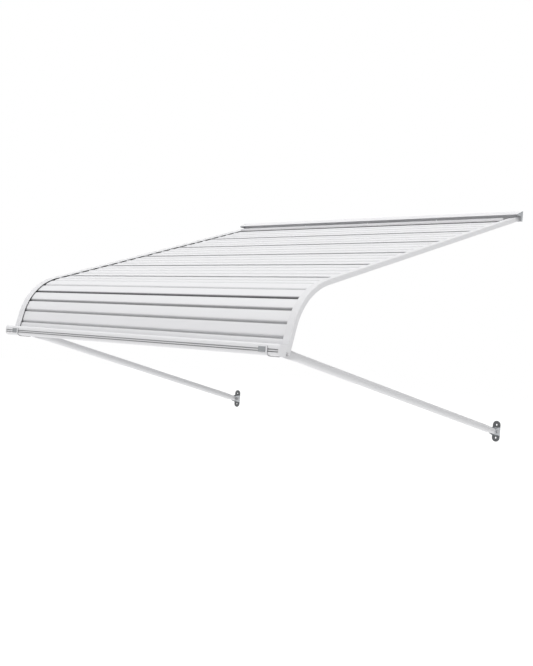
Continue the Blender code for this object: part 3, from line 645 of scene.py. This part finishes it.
def rib(front):
    """Outline a pressed rib, with a trace of painted shade at its lower foot.

    Each row of the shape is a part of the width, a part of the height, and a fold. A point lies the
    rib's width times one minus the first part behind the front, at the rib's height times the
    second part. Two points on the flat let the painted shade fade out.
    """
    shape = ((0.0, 0.0, 0.0), (0.16, 0.10, 0.0), (0.34, 0.72, 0.0), (0.5, 1.0, 0.0), (0.68, 0.94, 0.0),
             (0.84, 0.42, 0.10), (1.0, 0.0, 0.16))
    points = [(front - RIB_WIDTH * (1.0 - part), RIB_HEIGHT * height, fold) for part, height, fold in shape]
    return points + [(front + 1.5, 0.0, 0.08), (front + 3.5, 0.0, 0.0)]


def joint_rib(front, shade):
    """Outline the rib that covers the next pan's hook and ends in an open lip.

    Its points follow from the shape's rows as a plain rib's do, and the shade darkens the lip.
    """
    shape = ((0.0, 0.0, 0.0), (0.12, 0.16, 0.0), (0.3, 0.80, 0.0), (0.44, 1.0, 0.0), (0.8, 1.0, 0.0),
             (0.93, 0.97, 0.1 * shade), (1.0, 0.9, 0.7 * shade))
    return [(front - RIB_WIDTH * (1.0 - part), RIB_HEIGHT * height, fold) for part, height, fold in shape]


def pan_hook(line, setback, shade):
    """Outline the upturned back edge of a pan, hidden under the joint and full of painted shade.

    It goes straight down at the setback behind the line, from one sheet and one clearance below the
    rib's top, turns in a small bend and runs on flat, where the shade ends 3.2 mm past the line.
    """
    back = line - setback
    top = RIB_HEIGHT - SHEET - CLEARANCE
    return [(back, top, shade), (back, 0.9, shade), (back + 0.3, 0.25, shade), (back + 1.0, 0.0, shade),
            (line + 0.8, 0.0, shade), (line + 3.2, 0.0, 0.0)]


def rolled_edge(line, shade):
    """Outline the lower edge of a slat, rolled inwards, with painted shade that grows towards its tip.

    With t from 0 to 1 along the roll, the distance grows evenly to the tip and the depth is the
    roll's depth times the sum of 0.3 t squared and 0.7 t cubed. The fold, which carries the painted
    shade, rises evenly from t = 0.35 to t = 0.75.
    """
    part = np.linspace(0.0, 1.0, 9)
    reach = ROLL_LENGTH - ROLL_TIP_SHORT
    depth = ROLL_DEPTH * (0.3 * part ** 2 + 0.7 * part ** 3)
    fold = shade * np.clip(part - 0.35, 0.0, 0.4) / 0.4
    return list(zip(line - ROLL_LENGTH + reach * part, -depth, fold))


def slat_hook(line, shade):
    """Outline the hook and the rounded shoulder at the top of a slat, with painted shade in its crack.

    It goes down at the hook's length behind the line to the hook's depth below it, runs on flat,
    and rises past the line in a rounded shoulder to the roof line, where the painted shade fades
    out. The shade's last trace goes with its cube, so a light crack leaves the shoulder unshaded.
    """
    low = -SLAT_HOOK_DEPTH
    back = line - SLAT_HOOK_LENGTH
    return [(back, low + 2.1, shade), (back, low + 0.6, shade), (back + 0.5, low, shade),
            (line + 0.4, low, shade), (line + 1.6, low + 0.5, shade), (line + 2.4, low + 2.1, 0.85 * shade),
            (line + 3.0, -1.4, 0.45 * shade), (line + 3.8, -0.4, 0.15 * shade ** 3), (line + 5.4, 0.0, 0.0)]


def coat(names, surface):
    """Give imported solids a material."""
    for name in names:
        slots = NODES[name].data.materials
        slots.clear()
        slots.append(surface)


class CANOPY_OT_roof(bpy.types.Operator):
    """Enamel the roof pans and the front slats"""

    bl_idname = "canopy.roof"
    bl_label = "Roof Pans and Slats"

    def execute(self, context):
        finish = context.scene.canopy_finish
        # The fold attribute paints shade into the seams, the rib feet, the pan hooks and the strips under
        # the rails' flanges.
        pans = folded(enamel("roof enamel"))
        slats = folded(enamel("slat enamel"))
        for number, name in enumerate(PANS):
            line = number * PAN_COVER
            if number:
                path = pan_hook(line, HOOK_SETBACK, finish.joint_shade)
            else:
                path = pan_hook(line, FIRST_PAN_SETBACK, HIDDEN_FOLD)
            for step in range(1, RIBS_PER_PAN):
                path += rib(line + step * RIB_PITCH)
            path += joint_rib(line + PAN_COVER, finish.joint_shade)
            sheet_piece(name, path, pans, HIDDEN_FOLD)
        path = pan_hook(PANS_END, HOOK_SETBACK, finish.joint_shade) + rib(PANS_END + RIB_PITCH)
        path += rolled_edge(SLATS_START, finish.roll_shade[0])
        sheet_piece("short_pan", path, pans, HIDDEN_FOLD)
        for number, name in enumerate(SLATS):
            line = SLATS_START + number * SLAT_PITCH
            foot = line + SLAT_PITCH
            path = slat_hook(line, finish.crack_shade[number])
            if name == SLATS[-1]:
                path.append((foot, 0.0, 0.0))
            else:
                path += rolled_edge(foot, finish.roll_shade[number + 1])
            sheet_piece(name, path, slats, HIDDEN_FOLD - RAIL_SHADE_STEP * number)
        return {"FINISHED"}


class CANOPY_OT_rails(bpy.types.Operator):
    """Enamel the side rails, the header and the front bar"""

    bl_idname = "canopy.rails"
    bl_label = "Rails, Header and Bar"

    def execute(self, context):
        # The rails get a slightly darker copy of the white enamel, as painted shade.
        coat(RAILS, enamel("rail enamel", RAIL_SHADE_TINT))
        # Painted shade in the header's recess and in the bar's two grooves.
        nose = HEADER_BOX[1][1] - NOSE_BEHIND_FRONT
        low, high = HEADER_BOX[0][2], HEADER_BOX[1][2]
        coat(HEADER[:1], grooved(enamel("header enamel"), nose, RECESS_DEPTH, low, high, RECESS_SHADE))
        front = BAR_BOX[0][1]
        high, low = (BAR_BOX[1][2] - drop for drop in GROOVES_BELOW_TOP)
        coat(BAR[:1], grooved(enamel("bar enamel"), front, GROOVE_DEPTH, low, high, GROOVE_SHADE))
        coat(BAR[1:], enamel("cap enamel"))
        return {"FINISHED"}


class CANOPY_OT_arms(bpy.types.Operator):
    """Enamel the arms and the clips that hold them"""

    bl_idname = "canopy.arms"
    bl_label = "Arms and Clips"

    def execute(self, context):
        # The arms get a slightly darker copy of the enamel, and painted shade on their upper side.
        coat(ARMS, painted_shade_above(enamel("arm enamel", ARM_SHADE_TINT), ARM_SHADE))
        # Painted shade on the clips' faces that look along the wall.
        coat(CLIPS, painted_shade_on_sides(enamel("clip enamel"), CLIP_SIDE_SHADE))
        return {"FINISHED"}


class CANOPY_OT_metal(bpy.types.Operator):
    """Plate the wall brackets and slot plates, and finish the bolts, nuts and screws"""

    bl_idname = "canopy.metal"
    bl_label = "Brackets and Fasteners"

    def execute(self, context):
        # Painted shade on the round ends of the bracket plates.
        bracket = zinc("bracket zinc", BRACKET_TINT)
        coat(BRACKETS, painted_shade_on_ends(bracket, BRACKET_MIDDLE, LOBE_REACH, PLATE_FACE, LOBE_SHADE_TONE))
        coat(SLOT_PLATES, zinc("slot plate zinc", SLOT_PLATE_TINT))
        coat(HEADER[1:], zinc("header end zinc", HEADER_END_TINT))
        steel = context.scene.canopy_finish.steel
        coat(FASTENERS, finish_material("bolt steel", plated_group(), steel, PLATING, STEEL_RELIEF, 1.0))
        return {"FINISHED"}


def seen_directly(tree):
    """Say whether a ray comes from the camera, a mirror or glass: 1 if any of the three holds."""
    path = add_node(tree, "LightPath").outputs
    mirrored = maths(tree, "MAXIMUM", path["Is Camera Ray"], path["Is Glossy Ray"])
    return maths(tree, "MAXIMUM", mirrored, path["Is Transmission Ray"])


def backdrop_world(sky):
    """Light the object with an even sky, and show white behind it to camera and mirror rays."""
    world = bpy.data.worlds.new("soft sky")
    world.use_nodes = True
    tree = world.node_tree
    mix = add_node(tree, "MixShader")
    tree.links.new(seen_directly(tree), mix.inputs["Fac"])
    backgrounds = (tree.nodes["Background"], add_node(tree, "Background"))
    for slot, background, strength in zip((1, 2), backgrounds, (sky, 1.0)):
        background.inputs["Color"].default_value = WHITE
        background.inputs["Strength"].default_value = strength
        tree.links.new(background.outputs[0], mix.inputs[slot])
    tree.links.new(mix.outputs[0], tree.nodes["World Output"].inputs["Surface"])
    bpy.context.scene.world = world


def floor_material(stage):
    """Make a pale floor that gives back much light and looks white where it is seen directly."""
    made = bpy.data.materials.new("pale floor")
    made.use_nodes = True
    tree = made.node_tree
    plain = tree.nodes["Principled BSDF"]
    plain.inputs["Base Color"].default_value = FLOOR_TONE
    plain.inputs["Roughness"].default_value = 1.0
    plain.inputs["Specular IOR Level"].default_value = 0.0
    plain.inputs["Emission Color"].default_value = WHITE
    extra = maths(tree, "MULTIPLY", seen_directly(tree), stage.floor_white)
    glow = maths(tree, "ADD", extra, stage.floor_glow)
    tree.links.new(glow, plain.inputs["Emission Strength"])
    return made


def add_sun(name, towards, strength, mirrored):
    """Add a soft distant lamp; towards points to it, and mirrored says if glossy surfaces show it."""
    light = bpy.data.lights.new(name, "SUN")
    light.energy = strength
    light.angle = LAMP_SOFTNESS
    lamp = bpy.data.objects.new(name, light)
    lamp.rotation_mode = "QUATERNION"
    lamp.rotation_quaternion = Vector(towards).to_track_quat("Z", "Y")
    lamp.visible_glossy = mirrored
    bpy.context.scene.collection.objects.link(lamp)


def add_camera(stage):
    """Place the camera by its turn from the wall's normal, its dip and its roll.

    The view goes along (-sin turn cos dip, cos turn cos dip, -sin dip). The picture's right and up
    are the level line across that view and the line square to both, turned by the roll. The shifts
    are the optical centre's offsets from the picture's centre, over the picture's longer side.
    """
    data = bpy.data.cameras.new("photo camera")
    data.sensor_width = SENSOR
    data.lens = stage.focal_pixels * SENSOR / FRAME_TALL
    data.shift_x = (FRAME_WIDE / 2 - stage.centre_across) / FRAME_TALL
    data.shift_y = (stage.centre_down - FRAME_TALL / 2) / FRAME_TALL
    camera = bpy.data.objects.new("photo camera", data)
    turn, dip, roll = stage.camera_turn, stage.camera_dip, stage.camera_roll
    ahead = Vector((-math.sin(turn) * math.cos(dip), math.cos(turn) * math.cos(dip), -math.sin(dip)))
    right = Vector((math.cos(turn), math.sin(turn), 0.0))
    up = right.cross(ahead)
    across = right * math.cos(roll) + up * math.sin(roll)
    above = up * math.cos(roll) - right * math.sin(roll)
    turned = Matrix((across, above, -ahead)).transposed()
    camera.matrix_world = Matrix.Translation(stage.camera_place) @ turned.to_4x4()
    bpy.context.scene.collection.objects.link(camera)
    bpy.context.scene.camera = camera


class CANOPY_OT_stage(bpy.types.Operator):
    """Lay the pale floor, hang the soft lamps and place the camera"""

    bl_idname = "canopy.stage"
    bl_label = "Floor, Light and Camera"

    def execute(self, context):
        stage = context.scene.canopy_stage
        mesh = bpy.data.meshes.new("pale floor")
        corners = [(-1.0, -1.0), (1.0, -1.0), (1.0, 1.0), (-1.0, 1.0)]
        points = [(x * FLOOR_HALF, y * FLOOR_HALF, stage.floor_level) for x, y in corners]
        mesh.from_pydata(points, [], [(0, 1, 2, 3)])
        mesh.materials.append(floor_material(stage))
        floor = bpy.data.objects.new("pale_floor", mesh)
        context.scene.collection.objects.link(floor)
        backdrop_world(stage.sky)
        add_sun("top lamp", TOP_LAMP_TOWARDS, stage.top_lamp, True)
        add_sun("side lamp", SIDE_LAMP_TOWARDS, stage.side_lamp, False)
        add_camera(stage)
        context.scene.view_settings.view_transform = "Standard"
        return {"FINISHED"}


STEPS = (CANOPY_OT_roof, CANOPY_OT_rails, CANOPY_OT_arms, CANOPY_OT_metal, CANOPY_OT_stage)


class CANOPY_PT_panel(bpy.types.Panel):
    """Canopy steps and settings"""

    bl_idname = "CANOPY_PT_panel"
    bl_label = "Canopy"
    bl_space_type = "VIEW_3D"
    bl_region_type = "UI"
    bl_category = "Canopy"

    def draw(self, context):
        for settings in (context.scene.canopy_finish, context.scene.canopy_stage):
            for label in settings.__annotations__:
                self.layout.prop(settings, label)
        for step in STEPS:
            self.layout.operator(step.bl_idname)


CLASSES = (CanopyFinish, CanopyStage) + STEPS + (CANOPY_PT_panel,)


def register():
    """Register the classes and hang both groups of settings on the scene."""
    for made in CLASSES:
        bpy.utils.register_class(made)
    bpy.types.Scene.canopy_finish = bpy.props.PointerProperty(type=CanopyFinish)
    bpy.types.Scene.canopy_stage = bpy.props.PointerProperty(type=CanopyStage)


def unregister():
    """Undo what register did, in the opposite order."""
    del bpy.types.Scene.canopy_stage
    del bpy.types.Scene.canopy_finish
    for made in reversed(CLASSES):
        bpy.utils.unregister_class(made)


def main():
    """Register the add-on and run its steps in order."""
    register()
    bpy.ops.canopy.roof()
    bpy.ops.canopy.rails()
    bpy.ops.canopy.arms()
    bpy.ops.canopy.metal()
    bpy.ops.canopy.stage()


if __name__ == "__main__":
    main()
